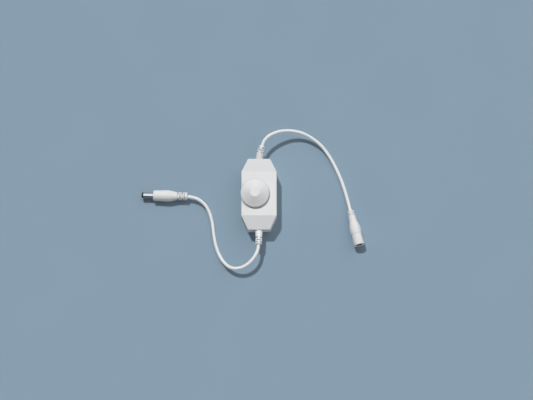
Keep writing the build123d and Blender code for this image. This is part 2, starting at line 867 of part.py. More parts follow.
def spring_blade(clearance):
    """The blade of the side contact, or the slot that takes it."""
    half = spring_width / 2 + clearance
    start = jack_length - socket_depth + spring_end_gap - clearance
    end = jack_length - 2 * spring_end_gap + clearance
    return between((start, -half, -socket_radius - spring_inset - clearance),
                   (end, half, -socket_radius + spring_proud))


def jack_spring_contact():
    """The side contact that bears on a plug's barrel."""
    return spring_blade(0.0)


outer_form = rounded_case()
inner_form = case_block(wall)

solids = {
    "top_cover": top_cover(outer_form, inner_form),
    "bottom_cover": bottom_cover(outer_form, inner_form),
    "case_screws": case_screws(),
    "rotary_knob": rotary_knob(),
    "knob_spring_clip": knob_spring_clip(),
    "potentiometer_shaft": potentiometer_shaft(),
    "shaft_snap_ring": shaft_snap_ring(),
    "potentiometer_rotor": potentiometer_rotor(),
    "potentiometer_wiper": potentiometer_wiper(),
    "potentiometer_wafer": potentiometer_wafer(),
    "potentiometer_track": potentiometer_track(),
    "potentiometer_can": potentiometer_can(),
    "potentiometer_collar": potentiometer_collar(),
    "potentiometer_terminals": potentiometer_terminals(),
    "circuit_board": circuit_board(),
    "power_transistor": power_transistor(),
    "timer_chip": timer_chip(),
    "electrolytic_capacitor": electrolytic_capacitor(),
    "ceramic_capacitors": small_blocks(ceramic_shares, ceramic_size),
    "resistors": small_blocks(resistor_shares, resistor_size),
    "diode": small_blocks(diode_shares, diode_size),
    "input_positive_wire": inner_wire(-1, 1),
    "input_negative_wire": inner_wire(1, 1),
    "output_positive_wire": inner_wire(-1, -1),
    "output_negative_wire": inner_wire(1, -1),
    "solder_joints": solder_joints(),
    "input_strain_relief": strain_relief(*input_relief),
    "output_strain_relief": strain_relief(*output_relief),
    "input_cord": lead("input_cord", input_relief, input_route, jack_rear, jack_aim,
                       jack_run),
    "output_cord": lead("output_cord", output_relief, output_route, plug_rear, plug_aim,
                        plug_run),
    "plug_body": aimed(plug_body(), plug_rear, plug_aim),
    "plug_sleeve": aimed(plug_sleeve(), plug_rear, plug_aim),
    "plug_insulator": aimed(plug_insulator(), plug_rear, plug_aim),
    "plug_contact": aimed(plug_contact(), plug_rear, plug_aim),
    "jack_body": aimed(jack_body(), jack_rear, jack_aim),
    "jack_liner": aimed(jack_liner(), jack_rear, jack_aim),
    "jack_centre_pin": aimed(jack_centre_pin(), jack_rear, jack_aim),
    "jack_spring_contact": aimed(jack_spring_contact(), jack_rear, jack_aim),
}

os.makedirs("parts", exist_ok=True)
for node, solid in solids.items():
    export_step(solid, f"parts/{node}.step")
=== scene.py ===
import math

import bmesh
import bpy
from mathutils import Matrix, Vector


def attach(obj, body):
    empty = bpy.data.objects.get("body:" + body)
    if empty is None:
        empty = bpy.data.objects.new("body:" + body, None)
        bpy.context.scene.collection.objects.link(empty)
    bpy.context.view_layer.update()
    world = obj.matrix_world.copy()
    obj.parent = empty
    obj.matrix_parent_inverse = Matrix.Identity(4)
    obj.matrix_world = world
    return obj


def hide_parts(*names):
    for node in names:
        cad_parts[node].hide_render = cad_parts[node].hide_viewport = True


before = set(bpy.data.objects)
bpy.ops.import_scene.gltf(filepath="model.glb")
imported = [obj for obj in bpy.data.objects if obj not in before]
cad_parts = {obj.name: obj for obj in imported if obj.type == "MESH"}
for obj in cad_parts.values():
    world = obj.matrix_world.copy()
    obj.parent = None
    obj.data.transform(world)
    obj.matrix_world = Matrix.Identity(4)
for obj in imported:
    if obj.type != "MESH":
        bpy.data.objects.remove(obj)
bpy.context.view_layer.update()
bpy.context.scene.view_settings.view_transform = "Standard"

# The camera stands 1.5 m away, almost straight above the dimmer and a little
# to the side of the output lead, as in the photograph.
mm = 0.001
view_target = Vector((7.4, -2.95, 0.0)) * mm
view_distance = 1.5
view_elevation = math.radians(79)
sensor_width = 36.0
view_width = 0.533
view_back = Vector((0, -math.cos(view_elevation), math.sin(view_elevation)))
camera = bpy.data.objects.new("camera", bpy.data.cameras.new("camera"))
camera.data.sensor_width = sensor_width
camera.data.lens = sensor_width * view_distance / view_width
camera.data.clip_start = 0.1
camera.data.clip_end = 20.0
camera.location = view_target + view_back * view_distance
camera.rotation_mode = "QUATERNION"
camera.rotation_quaternion = (-view_back).to_track_quat("-Z", "Y")
bpy.context.scene.collection.objects.link(camera)
bpy.context.scene.camera = camera

# The case is two moulded shells of white ABS, 1.6 mm thick, with a soft satin
# grain. Its long corners are cut off, and the top slopes down at both ends.
# The shells meet in a fine seam and are held by four screws from below.
case_width = 35.2
case_length = 71.8
case_height = 19.0
flat_length = 44.0
end_width = 22.0
end_height = 15.6
parting_height = 12.0
base_chamfer = 0.9
wall = 1.6
edge_round = 1.0
seam_round = 0.22
base_round_share = 0.3
touching = 0.01
sliver = 0.001
neck_radius = 2.35
knob_offset = -4.0
hub_hole_radius = 5.0
screw_places = [(x * 9.5, y * 26.5) for x in (-1, 1) for y in (-1, 1)]
screw_recess_radius = 2.15
screw_recess_depth = 1.9
below_base = -1
boss_radius = 2.45


def linear(red, green, blue):
    """A colour read off a screen, 0 to 255, as the linear colour a shader takes."""
    shares = [value / 255 for value in (red, green, blue)]
    return [c / 12.92 if c <= 0.04045 else ((c + 0.055) / 1.055) ** 2.4 for c in shares] + [1.0]


def add_node(owner, kind, links=None, **values):
    """A shader node with its settings, and its inputs set or linked by name.

    owner is the material or world whose nodes it joins.
    """
    made = owner.node_tree.nodes.new(kind)
    for name, value in values.items():
        setattr(made, name, value)
    for name, value in (links or {}).items():
        if isinstance(value, bpy.types.NodeSocket):
            owner.node_tree.links.new(value, made.inputs[name])
        else:
            made.inputs[name].default_value = value
    return made


def finish_of(name, colour, shade, gloss, grain, relief, blotch=18.0, metal=0.0,
              stretch=(1, 1, 1)):
    """A material whose colour and gloss drift a little, over a fine grain.

    colour and shade are the two ends of the drift, gloss the two ends of the
    roughness, grain and blotch feature sizes and relief the grain's depth, in mm.
    The gloss drifts in smaller patches than the colour.
    """
    rub_share = 0.23
    material = bpy.data.materials.new(name)
    material.use_nodes = True
    shader = material.node_tree.nodes["Principled BSDF"]
    shader.inputs["Metallic"].default_value = metal
    place = add_node(material, "ShaderNodeTexCoord")
    drawn = add_node(material, "ShaderNodeMapping", {"Vector": place.outputs["Object"],
                                                     "Scale": stretch})
    drift = add_node(material, "ShaderNodeTexNoise",
                     {"Vector": drawn.outputs[0], "Scale": 1 / (blotch * mm), "Detail": 5.0,
                      "Roughness": 0.6})
    tint = add_node(material, "ShaderNodeMix",
                    {"Factor": drift.outputs["Fac"], "A": colour, "B": shade}, data_type="RGBA")
    rub = add_node(material, "ShaderNodeTexNoise",
                   {"Vector": drawn.outputs[0], "Scale": 1 / (blotch * mm * rub_share),
                    "Detail": 6.0})
    sheen = add_node(material, "ShaderNodeMapRange",
                     {"Value": rub.outputs["Fac"], "From Min": 0.3, "From Max": 0.7,
                      "To Min": gloss[0], "To Max": gloss[1]})
    pores = add_node(material, "ShaderNodeTexNoise",
                     {"Vector": drawn.outputs[0], "Scale": 1 / (grain * mm), "Detail": 3.0})
    bump = add_node(material, "ShaderNodeBump",
                    {"Height": pores.outputs["Fac"], "Strength": 0.6, "Distance": relief * mm})
    wire = material.node_tree.links.new
    wire(tint.outputs["Result"], shader.inputs["Base Color"])
    wire(sheen.outputs["Result"], shader.inputs["Roughness"])
    wire(bump.outputs["Normal"], shader.inputs["Normal"])
    return material


def mix_dust_and_shade(material, darkening):
    """Mix a dust grey into a plastic, by a share that another node gives: real dust in some
    places, painted shade in others.
    """
    tree = material.node_tree
    colour = tree.nodes["Principled BSDF"].inputs["Base Color"]
    clean = colour.links[0].from_socket
    darkened = add_node(material, "ShaderNodeMix",
                      {"Factor": darkening, "A": clean, "B": linear(120, 116, 108)}, data_type="RGBA")
    tree.links.new(darkened.outputs["Result"], colour)


def dust_and_shade_line(material, height, reach, strength):
    """Darken a plastic a little towards one height: dust along a seam or edge, or painted shade
    at a rim's base.
    """
    place = add_node(material, "ShaderNodeTexCoord")
    split = add_node(material, "ShaderNodeSeparateXYZ", {"Vector": place.outputs["Object"]})
    off = add_node(material, "ShaderNodeMath", {0: split.outputs["Z"], 1: height * mm},
                   operation="SUBTRACT")
    away = add_node(material, "ShaderNodeMath", {0: off.outputs[0]}, operation="ABSOLUTE")
    darkening = add_node(material, "ShaderNodeMapRange",
                    {"Value": away.outputs[0], "From Min": 0.0, "From Max": reach * mm,
                     "To Min": strength, "To Max": 0.0})
    mix_dust_and_shade(material, darkening.outputs["Result"])


def object_of(name, mesh):
    """Link a mesh into the scene as an object."""
    made = bpy.data.objects.new(name, mesh)
    bpy.context.scene.collection.objects.link(made)
    return made


def built(name, bm):
    """Turn a mesh that is being built into an object in the scene."""
    mesh = bpy.data.meshes.new(name)
    bm.to_mesh(mesh)
    bm.free()
    return object_of(name, mesh)


def corners(inset):
    """The case's eight plan corners, anticlockwise, moved inwards by a wall."""
    outline = [Vector(p) for p in (
        (case_width / 2, -flat_length / 2), (case_width / 2, flat_length / 2),
        (end_width / 2, case_length / 2), (-end_width / 2, case_length / 2),
        (-case_width / 2, flat_length / 2), (-case_width / 2, -flat_length / 2),
        (-end_width / 2, -case_length / 2), (end_width / 2, -case_length / 2))]
    moved = []
    for before, here, after in zip(outline[-1:] + outline, outline, outline[1:] + outline[:1]):
        first = (here - before).normalized()
        second = (after - here).normalized()
        first_out = Vector((first.y, -first.x))
        second_out = Vector((second.y, -second.x))
        moved.append(here - inset * (first_out + second_out) / (1 + first_out.dot(second_out)))
    return moved


def roof(points, drop):
    """Heights of the case's upper corners: the flat top, then the low ends."""
    slope = (case_height - end_height) / (case_length - flat_length) * 2
    lean = math.hypot(1, slope)
    heights = []
    for point in points:
        beyond = max(0.0, abs(point.y) - flat_length / 2)
        heights.append(case_height - drop * (lean if beyond else 1) - slope * beyond)
    return heights


def ring(bm, points, heights):
    """Vertices at plan corners and heights, in millimetres."""
    return [bm.verts.new((p.x * mm, p.y * mm, h * mm)) for p, h in zip(points, heights)]


def band(bm, low, high):
    """Quads between two rings."""
    count = len(low)
    for i in range(count):
        bm.faces.new((low[i], low[(i + 1) % count], high[(i + 1) % count], high[i]))


def soften(bm, weight):
    """Give each edge the share of the rounding that weight returns for it."""
    layer = bm.edges.layers.float.new("bevel_weight_edge")
    for edge in bm.edges:
        edge[layer] = weight(edge)


def applied(piece):
    """Fix a piece's modifiers into its mesh, without the slivers they leave."""
    graph = bpy.context.evaluated_depsgraph_get()
    mesh = bpy.data.meshes.new_from_object(piece.evaluated_get(graph))
    bm = bmesh.new()
    bm.from_mesh(mesh)
    bmesh.ops.remove_doubles(bm, verts=bm.verts, dist=sliver * mm)
    bm.to_mesh(mesh)
    bm.free()
    piece.modifiers.clear()
    piece.data = mesh


def carve(piece, cutter, operation="DIFFERENCE"):
    """Cut a helper solid out of a piece, or add it, and remove the helper."""
    step = piece.modifiers.new("carve", "BOOLEAN")
    step.operation = operation
    step.solver = "EXACT"
    step.object = cutter
    applied(piece)
    bpy.data.objects.remove(cutter)


def round_bar(radius, low, high, place=(0, 0), along_y=False, sides=64):
    """A helper cylinder, upright or along the case, in millimetres."""
    bm = bmesh.new()
    bmesh.ops.create_cone(bm, cap_ends=True, segments=sides, radius1=radius * mm,
                          radius2=radius * mm, depth=(high - low) * mm)
    middle = Vector((place[0], place[1], (low + high) / 2)) * mm
    turn = Matrix.Rotation(math.pi / 2, 4, "X") if along_y else Matrix.Identity(4)
    if along_y:
        middle = Vector((place[0], (low + high) / 2, place[1])) * mm
    bm.transform(Matrix.Translation(middle) @ turn)
    return built("bar", bm)


def smooth(piece, angle):
    """Smooth shading that breaks at edges sharper than an angle in degrees."""
    piece.data.shade_smooth()
    piece.data.set_sharp_from_angle(angle=math.radians(angle))


def rounded_shell(name, outer_rings, inner_rings, outer_caps, inner_caps, weight):
    """A shell from its outer and inner rings, with caps, a rim and soft edges."""
    bm = bmesh.new()
    outer = [ring(bm, points, heights) for points, heights in outer_rings]
    inner = [ring(bm, points, heights) for points, heights in inner_rings]
    for low, high in zip(outer, outer[1:]):
        band(bm, low, high)
    for low, high in zip(inner, inner[1:]):
        band(bm, high, low)
    band(bm, inner[0], outer[0])
    for cap in outer_caps:
        bm.faces.new([outer[-1][i] for i in cap])
    for cap in inner_caps:
        bm.faces.new([inner[-1][i] for i in cap])
    bmesh.ops.recalc_face_normals(bm, faces=bm.faces)
    outside = {vert for one in outer for vert in one}
    soften(bm, lambda edge: weight(edge) if set(edge.verts) <= outside else 0.0)
    piece = built(name, bm)
    bevel = piece.modifiers.new("round", "BEVEL")
    bevel.width = edge_round * mm
    bevel.segments = 5
    bevel.limit_method = "WEIGHT"
    bevel.offset_type = "OFFSET"
    applied(piece)
    return piece


def corner_weight(edge):
    """Share of the rounding: full on square corners, little on shallow ones."""
    turn = edge.calc_face_angle(0.0)
    return min(1.0, math.tan(turn / 2))


def seam_weight(edge):
    """As corner_weight, with only a fine rounding along the seam of the shells."""
    at_seam = all(abs(vert.co.z - parting_height * mm) < touching * mm for vert in edge.verts)
    return seam_round / edge_round if at_seam else corner_weight(edge)


def base_weight(edge):
    """As seam_weight, with a smaller rounding where the base's chamfer ends."""
    at_base = min(vert.co.z for vert in edge.verts) < touching * mm
    return base_round_share * corner_weight(edge) if at_base else seam_weight(edge)


outer_plan = corners(0)
inner_plan = corners(wall)
roof_caps = [(0, 1, 4, 5), (1, 2, 3, 4), (5, 6, 7, 0)]
top_shell = rounded_shell(
    "case_top",
    [(outer_plan, [parting_height] * 8), (outer_plan, roof(outer_plan, 0))],
    [(inner_plan, [parting_height] * 8), (inner_plan, roof(inner_plan, wall))],
    roof_caps, [cap[::-1] for cap in roof_caps], seam_weight)
hub_hole_end = case_height + 5
lead_hole = (neck_radius, -case_length, case_length, (0, parting_height), True)
carve(top_shell, round_bar(hub_hole_radius, parting_height, hub_hole_end, (knob_offset, 0)))
carve(top_shell, round_bar(*lead_hole))

bottom_shell = rounded_shell(
    "case_bottom",
    [(outer_plan, [parting_height] * 8), (outer_plan, [base_chamfer] * 8),
     (corners(base_chamfer), [0.0] * 8)],
    [(inner_plan, [parting_height] * 8), (inner_plan, [wall] * 8)],
    [tuple(range(8))], [tuple(range(8))[::-1]], base_weight)
carve(bottom_shell, round_bar(*lead_hole))
for place in screw_places:
    carve(bottom_shell, round_bar(boss_radius, wall / 2, parting_height, place), "UNION")
    carve(bottom_shell, round_bar(screw_recess_radius, below_base, screw_recess_depth, place))

case_plastic = finish_of("white_abs", linear(229, 229, 228), linear(225, 225, 225),
                         (0.42, 0.55), grain=0.35, relief=0.012, blotch=22.0)
dust_and_shade_line(case_plastic, parting_height, reach=0.5, strength=0.25)
dust_and_shade_line(case_plastic, 0.0, reach=1.4, strength=0.18)

# The sloping ends of the top have a coarser, spark-eroded grain than the flat, and
# their colour is a shade greyer: painted shade, darkening them as light would. They
# are told from the other faces by how far they look up and towards an end.
steepest = 0.9
flattest = 0.99
facing_end = 0.2
flat_break = 30
grained_shaded_plastic = finish_of("grained_shaded_abs", linear(220, 220, 220), linear(216, 216, 217),
                            (0.55, 0.68), grain=0.5, relief=0.02, blotch=22.0)
for shell, node in ((top_shell, "top_cover"), (bottom_shell, "bottom_cover")):
    smooth(shell, flat_break)
    shell.modifiers.new("flat faces stay flat", "WEIGHTED_NORMAL").keep_sharp = True
    shell.data.materials.clear()
    shell.data.materials.append(case_plastic)
    shell.data.materials.append(grained_shaded_plastic)
    for face in shell.data.polygons:
        sloping = steepest < face.normal.z < flattest and abs(face.normal.y) > facing_end
        face.material_index = int(sloping)
    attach(shell, "case")
    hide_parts(node)

# Four small zinc-plated screws, turned from steel, sit in round recesses in
# the base.


def dress(nodes, material):
    """Give CAD pieces that are already the right shape their finish."""
    for name in nodes:
        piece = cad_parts[name]
        piece.data.materials.clear()
        piece.data.materials.append(material)


zinc = finish_of("zinc_plate", linear(176, 176, 172), linear(140, 141, 142), (0.25, 0.5),
                 grain=0.12, relief=0.01, blotch=1.2, metal=1.0)
dress(["case_screws"], zinc)

# The circuit board is green-masked glass laminate with a fine weave. It sits
# on four posts of the bottom cover and carries the black moulded parts.
laminate = finish_of("solder_mask", linear(28, 104, 62), linear(20, 82, 50), (0.25, 0.4),
                     grain=0.6, relief=0.01, blotch=5.0)
black_epoxy = finish_of("black_epoxy", linear(38, 38, 40), linear(30, 30, 31), (0.45, 0.65),
                        grain=0.1, relief=0.01, blotch=2.0)
capacitor_sleeve = finish_of("capacitor_sleeve", linear(34, 36, 60), linear(26, 28, 48),
                             (0.2, 0.35), grain=0.5, relief=0.005, blotch=3.0)
ceramic = finish_of("fired_ceramic", linear(178, 148, 112), linear(160, 130, 96), (0.4, 0.6),
                    grain=0.15, relief=0.01, blotch=1.0)
dress(["circuit_board"], laminate)
dress(["power_transistor", "timer_chip", "resistors", "diode"], black_epoxy)
dress(["electrolytic_capacitor"], capacitor_sleeve)
dress(["ceramic_capacitors"], ceramic)

# Inside, each lead's two wires, red for positive and black for negative, run
# from the strain relief to the board, where solder cones hold them.
red_vinyl = finish_of("red_vinyl", linear(176, 28, 24), linear(158, 22, 20), (0.3, 0.45),
                      grain=0.3, relief=0.005, blotch=3.0)
black_vinyl = finish_of("black_vinyl", linear(32, 32, 33), linear(24, 24, 25), (0.3, 0.45),
                        grain=0.3, relief=0.005, blotch=3.0)
tinned = finish_of("tinned_metal", linear(200, 200, 198), linear(176, 176, 174), (0.2, 0.45),
                   grain=0.2, relief=0.01, blotch=0.8, metal=1.0)
dress(["input_positive_wire", "output_positive_wire"], red_vinyl)
dress(["input_negative_wire", "output_negative_wire"], black_vinyl)
dress(["solder_joints", "potentiometer_terminals"], tinned)

# The potentiometer stands on the board under the knob: a pressed steel can on
# a phenolic wafer, with a turned shaft, a plastic rotor and bronze fingers.
pressed_steel = finish_of("pressed_steel", linear(188, 188, 186), linear(160, 161, 162),
                          (0.25, 0.5), grain=0.2, relief=0.01, blotch=3.0, metal=1.0)
turned_metal = finish_of("turned_metal", linear(205, 205, 203), linear(186, 187, 188),
                         (0.2, 0.4), grain=0.1, relief=0.01, blotch=1.5, metal=1.0,
                         stretch=(0.2, 0.2, 4))
spring_steel = finish_of("spring_steel", linear(176, 178, 182), linear(150, 152, 156),
                         (0.2, 0.4), grain=0.1, relief=0.005, blotch=1.0, metal=1.0)
phenolic = finish_of("phenolic_board", linear(132, 92, 58), linear(112, 76, 46), (0.45, 0.6),
                     grain=0.3, relief=0.01, blotch=2.0)
carbon = finish_of("carbon_ink", linear(28, 28, 29), linear(20, 20, 21), (0.5, 0.7),
                   grain=0.08, relief=0.005, blotch=1.0)
bronze = finish_of("rolled_bronze", linear(206, 168, 112), linear(184, 146, 94), (0.2, 0.4),
                   grain=0.1, relief=0.005, blotch=1.0, metal=1.0)
rotor_plastic = finish_of("rotor_plastic", linear(52, 52, 53), linear(40, 40, 41),
                          (0.4, 0.55), grain=0.2, relief=0.01, blotch=2.0)
dress(["potentiometer_can", "potentiometer_collar"], pressed_steel)
dress(["potentiometer_shaft"], turned_metal)
dress(["knob_spring_clip", "shaft_snap_ring", "jack_spring_contact"],
      spring_steel)
dress(["potentiometer_rotor"], rotor_plastic)
dress(["potentiometer_wafer"], phenolic)
dress(["potentiometer_track"], carbon)
dress(["potentiometer_wiper"], bronze)

# The knob is one white moulding, 28.6 mm across, pushed on the shaft: a thin
# straight rim, a shallow cone and a raised round boss with a crowned top.
knob_radius = 14.3
knob_base = 19.4
rim_top = 22.0
boss_edge_radius = 5.25
boss_edge = 27.95
crown_top = 28.3
crown_dip = 0.14
cone_rise = 1.2
cone_radius = 12.2
skirt_radius = 11.9
hub_bottom = 16.0
hub_radius = 4.6
bore_radius = 3.05
bore_top = 26.0
pole_radius = 0.05
knob_sides = 160
soft_break = 35


def rounded(outline, steps=5):
    """The points of an outline, with an arc at each corner that has a radius."""
    points = []
    last = len(outline) - 1
    for i, (along, out, radius) in enumerate(outline):
        here = Vector((along, out))
        if not radius or i in (0, last):
            points.append(here)
            continue
        before = (Vector(outline[i - 1][:2]) - here).normalized()
        after = (Vector(outline[i + 1][:2]) - here).normalized()
        half = before.angle(after) / 2
        middle = here + (before + after).normalized() * radius / math.sin(half)
        first = here + before * radius / math.tan(half) - middle
        turn = first.angle_signed(here + after * radius / math.tan(half) - middle)
        for step in range(steps + 1):
            arm = Matrix.Rotation(-turn * step / steps, 2) @ first
            points.append(middle + arm)
    return points


def skin(name, rings, joined=False):
    """A closed skin through rings of points; joined makes the last meet the first."""
    bm = bmesh.new()
    rows = [[bm.verts.new(point) for point in one] for one in rings]
    pairs = list(zip(rows, rows[1:]))
    if joined:
        pairs.append((rows[-1], rows[0]))
    for low, high in pairs:
        band(bm, low, high)
    if not joined:
        bm.faces.new(rows[0])
        bm.faces.new(rows[-1])
    bmesh.ops.recalc_face_normals(bm, faces=bm.faces)
    return built(name, bm)


def spun(name, outline, centre, count):
    """An upright turned skin from (height, radius) points, in millimetres."""
    turns = [2 * math.pi * k / count for k in range(count)]
    rings = []
    for height, out in outline:
        rings.append([Vector((centre[0] + out * math.cos(a), centre[1] + out * math.sin(a),
                              height)) * mm for a in turns])
    return skin(name, rings)


knob_outline = rounded([
    (crown_top - crown_dip, pole_radius, 0), (crown_top - 0.13, 2.0, 8.0), (crown_top, 4.75, 0.6),
    (boss_edge, boss_edge_radius, 0), (rim_top + cone_rise, cone_radius, 3.0),
    (rim_top, knob_radius, 2.2),
    (knob_base, knob_radius, 0.15), (knob_base, skirt_radius, 0.2),
    (20.9, 11.7, 0.4), (25.2, 4.9, 0.4), (hub_bottom, hub_radius, 0.3),
    (hub_bottom, bore_radius, 0), (bore_top, 3.03, 0), (26.05, pole_radius, 0)])
knob = spun("knob", knob_outline, (knob_offset, 0), knob_sides)
smooth(knob, soft_break)
knob_plastic = finish_of("white_knob", linear(229, 229, 229), linear(225, 225, 226),
                         (0.4, 0.52), grain=0.3, relief=0.010, blotch=9.0)


def turned_marks(material, centre, pitch, depth):
    """Faint rings round an upright axis, left by the turned mould."""
    grain = material.node_tree.nodes["Principled BSDF"].inputs["Normal"].links[0].from_node
    place = add_node(material, "ShaderNodeTexCoord")
    moved = add_node(material, "ShaderNodeMapping",
                     {"Vector": place.outputs["Object"],
                      "Location": (-centre[0] * mm, -centre[1] * mm, 0)})
    rings = add_node(material, "ShaderNodeTexWave",
                     {"Vector": moved.outputs[0], "Scale": 0.1 / (pitch * mm),
                      "Distortion": 0.6, "Detail Scale": 60.0},
                     wave_type="RINGS", rings_direction="Z")
    marks = add_node(material, "ShaderNodeBump",
                     {"Height": rings.outputs["Fac"], "Strength": 0.5, "Distance": depth * mm})
    material.node_tree.links.new(marks.outputs["Normal"], grain.inputs["Normal"])


def gap_shade_ring(material, centre, radius, reach, strength):
    """Darken a plastic a little just outside a circle: painted shade of the dark gap under a rim.
    """
    place = add_node(material, "ShaderNodeTexCoord")
    flat = add_node(material, "ShaderNodeMapping",
                    {"Vector": place.outputs["Object"], "Scale": (1, 1, 0),
                     "Location": (-centre[0] * mm, -centre[1] * mm, 0)})
    away = add_node(material, "ShaderNodeVectorMath", {0: flat.outputs[0]}, operation="LENGTH")
    darkening = add_node(material, "ShaderNodeMapRange",
                    {"Value": away.outputs["Value"], "From Min": radius * mm,
                     "From Max": (radius + reach) * mm, "To Min": strength, "To Max": 0.0})
    mix_dust_and_shade(material, darkening.outputs["Result"])


turned_marks(knob_plastic, (knob_offset, 0), pitch=1.9, depth=0.03)
# Painted shade: the knob is darkened towards its base, on the rim's lower side and underside,
# where the gap over the case is dark.
dust_and_shade_line(knob_plastic, knob_base, reach=1.5, strength=0.7)
# The lid's copy of the case plastic has a ring of painted shade round the knob, where the gap
# under its rim is dark.
lid_plastic = case_plastic.copy()
lid_plastic.name = "white_abs_lid"
gap_shade_ring(lid_plastic, (knob_offset, 0), knob_radius + 0.3, reach=1.2, strength=0.2)
top_shell.data.materials[0] = lid_plastic
knob.data.materials.append(knob_plastic)
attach(knob, "knob")
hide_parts("rotary_knob")

# Each lead leaves the case through a soft vinyl strain relief, moulded on the
# lead and held in the wall by a neck. Staggered slots let its end bend.
relief_root = 3.7
relief_waist = 3.4
relief_tip = 3.15
relief_length = 13.4
relief_end = relief_length + 0.6
relief_mouth = 1.6
slot_width = 1.05
slot_slope = 0.06
slot_floor = 1.75
slot_half_angle = 68
neck_inside = 3.1
flange_radius = 2.8
neck_waist = 2.3
side_slots = (90, -90)
face_slots = (0, 180)
same_place = 1e-4
dent_steps = 4
grip_break = 40
input_exit = (2.92, 48.22, 15.92)
output_exit = (-0.36, -49.26, 12.95)


def sleeve(name, line, outline, slots=(), dent=None, count=96):
    """A skin of (station, radius) points round a line, with slots cut into it.

    line gives a station's centre and its directions along, aside and up. A slot
    is its station, width, middle angle, half angle and floor radius; a dent is
    its station, angle, reach and depth.
    """
    dent_at, dent_side, dent_reach, dent_depth = dent or (0, 0, 1, 0)
    cuts = sorted({edge for at, width, *_ in slots
                   for edge in (at - width / 2 - slot_slope, at - width / 2,
                                at + width / 2, at + width / 2 + slot_slope)})
    if dent:
        cuts += [dent_at + dent_reach * k / dent_steps
                 for k in range(-dent_steps - 1, dent_steps + 2)]
    full = [outline[0]]
    for (a, ra), (b, rb) in zip(outline, outline[1:]):
        inside = sorted(c for c in cuts if a + same_place < c < b - same_place)
        full += [(c, ra + (rb - ra) * (c - a) / (b - a)) for c in inside]
        full.append((b, rb))
    rings = []
    for at, radius in full:
        centre, aside, up = line(at)
        points = []
        for k in range(count):
            angle = 360 * k / count
            out = radius
            for middle, width, turn, half, floor in slots:
                apart = abs((angle - turn + 180) % 360 - 180)
                if abs(at - middle) <= width / 2 + same_place and apart <= half:
                    out = min(out, floor)
            if dent:
                apart = math.radians((angle - dent_side + 180) % 360 - 180) * radius
                near = math.hypot(at - dent_at, apart) / dent_reach
                out -= dent_depth * max(0.0, 1 - near ** 2) ** 2
            way = math.radians(angle)
            points.append(centre + (aside * math.sin(way) + up * math.cos(way)) * out * mm)
        rings.append(points)
    return skin(name, rings)


def bent_line(start, knee, end):
    """A smooth line from a wall through a knee, straight before its start."""
    start, knee, end = (Vector(p) * mm for p in (start, knee, end))
    lead_in = Vector((0, math.copysign(1, start.y), 0))

    def line(at):
        share = min(1.0, max(0.0, at) / relief_length)
        if at <= 0:
            centre, along = start + lead_in * at * mm, lead_in
        elif at > relief_length:
            along = (end - knee).normalized()
            centre = end + along * (at - relief_length) * mm
        else:
            centre = (1 - share) ** 2 * start + 2 * share * (1 - share) * knee + share ** 2 * end
            along = ((1 - share) * (knee - start) + share * (end - knee)).normalized()
        up = (Vector((0, 0, 1)) - along * along.z).normalized()
        return centre, along.cross(up), up

    return line


relief_outline = rounded([
    (-neck_inside, pole_radius, 0), (-neck_inside, flange_radius, 0),
    (-1.8, flange_radius, 0), (-1.75, neck_waist, 0), (0.3, neck_waist, 0),
    (0.3, relief_root, 1.3), (6.9, relief_waist, 3.0), (relief_end, relief_tip, 0.3),
    (relief_end, relief_mouth, 0), (relief_length - 0.5, pole_radius, 0)], steps=4)


def staggered(stations, first, second, roll, floor):
    """Pairs of slots across a sleeve, turned a quarter turn from one to the next."""
    slots = []
    for index, at in enumerate(stations):
        for turn in (first, second)[index % 2]:
            slots.append((at, slot_width, turn + roll, slot_half_angle, floor))
    return slots


relief_stations = (7.6, 10.1, 12.3)
# Painted light: the reliefs' vinyl is coloured lighter than the same moulding on the plug and
# jack, to brighten them.
lightened_relief_vinyl = finish_of("lightened_relief_vinyl", linear(240, 240, 239), linear(234, 234, 233),
                         (0.45, 0.6), grain=0.25, relief=0.012, blotch=4.0)


def milky(material, weight, reach):
    """Let light soak a little way into a soft plastic, in millimetres."""
    shader = material.node_tree.nodes["Principled BSDF"]
    shader.inputs["Subsurface Weight"].default_value = weight
    shader.inputs["Subsurface Radius"].default_value = (1.0, 0.95, 0.9)
    shader.inputs["Subsurface Scale"].default_value = reach * mm


milky(lightened_relief_vinyl, weight=0.6, reach=1.0)
input_relief_line = bent_line((0, case_length / 2, parting_height), (0.91, 41.63, 14.70),
                              input_exit)
output_relief_line = bent_line((0, -case_length / 2, parting_height), (0.0, -42.29, 12.34),
                               output_exit)
for name, line, roll in (("input", input_relief_line, -15), ("output", output_relief_line, 0)):
    slots = staggered(relief_stations, side_slots, face_slots, roll, slot_floor)
    piece = sleeve(name + "_relief", line, relief_outline, slots)
    smooth(piece, grip_break)
    piece.data.materials.append(lightened_relief_vinyl)
    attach(piece, "case")
    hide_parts(name + "_strain_relief")

# The plug is moulded round its lead: a slotted sleeve, a smooth swelling grip
# and a straight nose. Its barrel is nickel-plated brass with a black tip.
plug_rear = Vector((-71.4, -0.4, 5.7)) * mm
plug_aim = (178.5, 0.0)
plug_length = 34.0
plug_socket = 3.4
socket_floor = 33.6
barrel_radius = 2.75
barrel_bore = 2.35
barrel_end = 43.8
tip_radius = 2.74
tip_bore = 1.3
tip_end = 45.5
contact_radius = 1.41
tube_sides = 64
metal_break = 30


def straight_line(rear, aim):
    """A line from a lead's end along a heading and a climb, in degrees."""
    heading, climb = (math.radians(angle) for angle in aim)
    along = Vector((math.cos(climb) * math.cos(heading), math.cos(climb) * math.sin(heading),
                    math.sin(climb)))
    aside = along.cross(Vector((0, 0, 1))).normalized()
    return lambda at: (rear + along * at * mm, aside, aside.cross(along))


